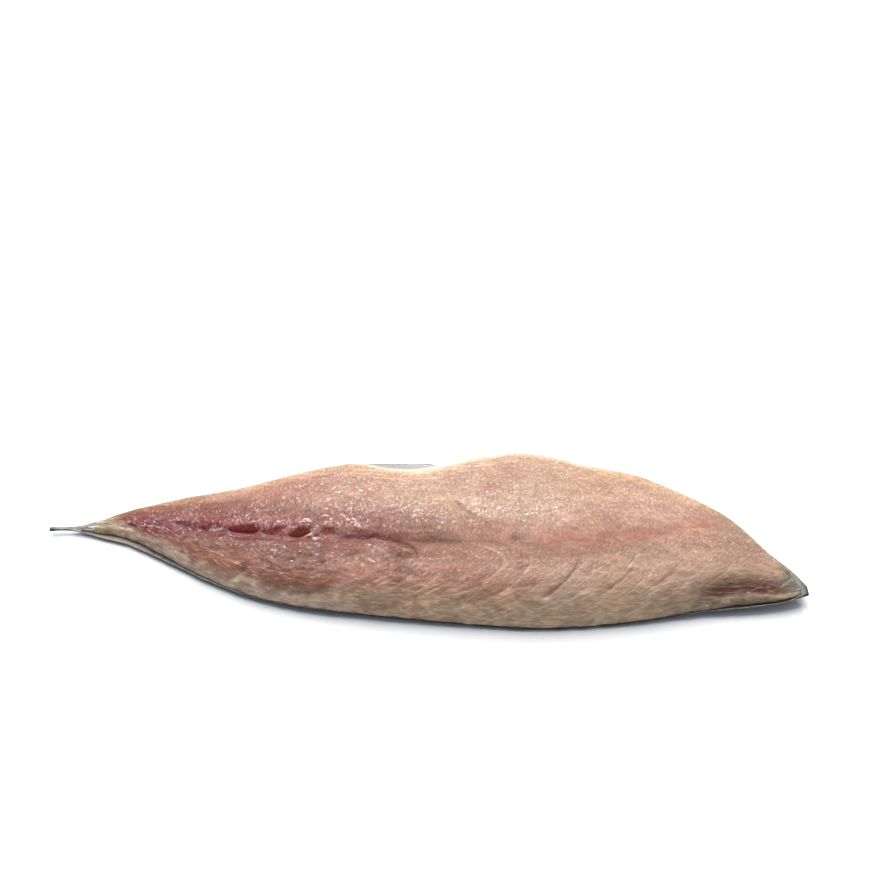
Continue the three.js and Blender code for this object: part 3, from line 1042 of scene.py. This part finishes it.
def outer_skin_color(look):
    """Dark bars over blue-green on the back, which pass into blue, silver and pearl."""
    across = look["across"]
    spine = look.steps(across, -0.94, -0.72, 1, 0)
    shimmer = look.noise(1.2, (0.4, 1, 1), detail=3)
    green = look.mix(look.steps(shimmer, 0.35, 0.7), SKIN_BLUE_GREEN, SKIN_GREEN_PALE)
    back_color = look.paint(green, SKIN_BLACK, look.larger(skin_bars(look), spine))
    wavy = look.plus(across, look.times(look.noise(6, detail=2), 0.4))
    side_line = look.line(wavy, 0.035, middle=0.12)
    back_color = look.paint(back_color, SKIN_BLACK, side_line, 0.6)
    belly_color = look.mix(look.steps(across, 0.15, 0.55), SKIN_BLUE, SKIN_SILVER)
    belly_color = look.paint(belly_color, SKIN_PEARL, look.steps(across, 0.5, 0.95))
    belly_color = look.shade(belly_color, look.steps(shimmer, 0.3, 0.7, 0.85, 1.15))
    return look.paint(belly_color, back_color, look.steps(wavy, 0.22, 0.34, 1, 0))


def inner_skin_color(look):
    """Where the flesh doesn't cover the skin: grey, with a collar, the flap and dark rims."""
    x = look.x
    from_back = look["from_back"]
    from_belly = look["from_belly"]
    mottle = look.steps(look.noise(1.6, (0.6, 1, 1), detail=3, roughness=0.6), 0.4, 0.62)
    color = look.mix(mottle, SKIN_INNER, SKIN_INNER_DARK)
    color = look.paint(color, TAIL_FAT, look.stretch(-111, -104, -95, -78),
                       look.steps(from_back, 3, 1.5), 0.35)
    far_side = look.larger(look.steps(look["across"], -0.6, 0.2),
                           look.steps(x, 106, 113))
    collar_color = look.shade(SKIN_COLLAR, look.blend(mottle, 1.15, 0.8))
    color = look.paint(color, collar_color, look.steps(x, 84, 100), far_side)
    beyond_flesh = look["flap"]
    flap_color = look.mix(look.steps(beyond_flesh, 0.16, 0.42), FLAP_PALE, SKIN_FLAP)
    flap_color = look.paint(flap_color, SKIN_FLAP_EDGE, look.steps(from_belly, 0.8, 0.3))
    color = look.paint(color, flap_color, look.steps(beyond_flesh, 0, 0.12))
    tips = look.larger(look.steps(x, -116.5, -118), look.steps(x, 116.5, 118.6))
    color = look.paint(color, SKIN_BLACK, tips, 0.85)
    back_rim = look.times(look.steps(from_back, 0.4, 0.1), look.stretch(-60, -35, 70, 90))
    belly_rim = look.times(look.steps(from_belly, 0.4, 0.1), look.steps(x, 60, 100), 0.6)
    return look.paint(color, SKIN_BLACK, look.larger(back_rim, belly_rim))


def skin_material():
    look = Look("skin")
    inside = look["inside"]
    color = look.mix(inside, outer_skin_color(look), inner_skin_color(look))
    scales = look.add("TexVoronoi", feature="F1")
    look.fill(scales, Vector=look.places((1, 1.4, 1)), Scale=1 / SCALE_SIZE)
    normal = look.bump(scales.outputs["Distance"], 0.07)
    normal = look.bump(look.noise(2.2, (0.35, 1, 1), detail=2), 0.25, normal)
    return look.finish(
        Base_Color=color, Roughness=0.38, IOR=1.4, Specular_IOR_Level=0.3, Normal=normal,
        Coat_Weight=look.steps(inside, 0, 1, 0.5, 0.3), Coat_Roughness=0.12)


# ---- Floor, light and camera ---------------------------------------------------------------

def make_floor():
    bpy.ops.mesh.primitive_plane_add(size=6, location=(0, 0, 0))
    floor = bpy.context.object
    floor.name = "floor"
    look = Look("floor")
    color = look.mix(look.noise(3, detail=2), FLOOR_GREY, FLOOR_WHITE)
    floor.data.materials.append(look.finish(Base_Color=color, Roughness=0.9))


def add_area_light(name, location, size, power, color=(1.0, 1.0, 1.0)):
    """A rectangular lamp that shines on the middle of the fillet."""
    data = bpy.data.lights.new(name, "AREA")
    data.shape = "RECTANGLE"
    data.size, data.size_y = size
    data.energy = power
    data.color = color
    light = bpy.data.objects.new(name, data)
    light.location = location
    flat = math.hypot(location[0], location[1])
    light.rotation_euler = (math.atan2(flat, location[2]), 0,
                            math.atan2(-location[1], -location[0]) - math.pi / 2)
    bpy.context.scene.collection.objects.link(light)


def make_lights():
    add_area_light("window", (-0.10, 0.60, 1.13), (1.6, 1.1), 31.0, (1.0, 0.99, 0.97))
    add_area_light("ceiling", (0, -0.05, 1.3), (0.9, 0.7), 2.0)
    for x in (-0.36, 0.02, 0.40):
        add_area_light("pane", (x, 0.76, 0.64), (0.10, 0.09), 2.6)
        add_area_light("low pane", (x - 0.12, 0.86, 0.40), (0.08, 0.07), 0.6)
    world = bpy.data.worlds.new("soft daylight")
    world.use_nodes = True
    sky = world.node_tree.nodes["Background"]
    sky.inputs["Color"].default_value = (0.78, 0.87, 1.0, 1)
    sky.inputs["Strength"].default_value = 0.32
    bpy.context.scene.world = world


# The photograph looks down at 45.6 degrees, with a view 870 pixels wide and a focal length
# of 1100 pixels, from 277 mm above the floor.
CAMERA_PLACE = (5.33, -224.2, 277.0)
CAMERA_PITCH = 45.63
FOCAL_PIXELS = 1100
VIEW_PIXELS = 870
SENSOR_MM = 36


def make_camera():
    data = bpy.data.cameras.new("camera")
    data.sensor_width = SENSOR_MM
    data.lens = SENSOR_MM * FOCAL_PIXELS / VIEW_PIXELS
    data.clip_start = 0.01
    camera = bpy.data.objects.new("camera", data)
    camera.location = [place * MM for place in CAMERA_PLACE]
    camera.rotation_euler = (math.radians(90 - CAMERA_PITCH), 0, 0)
    bpy.context.scene.collection.objects.link(camera)
    bpy.context.scene.camera = camera


# ---- Put together --------------------------------------------------------------------------

flesh = make_flesh()
flesh.data.materials.append(flesh_material())

skin = make_skin()
skin.data.materials.append(skin_material())

for piece in (flesh, skin):
    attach(piece, "root")
    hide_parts("fillet")

make_floor()
make_lights()
make_camera()
bpy.context.scene.view_settings.view_transform = "Standard"
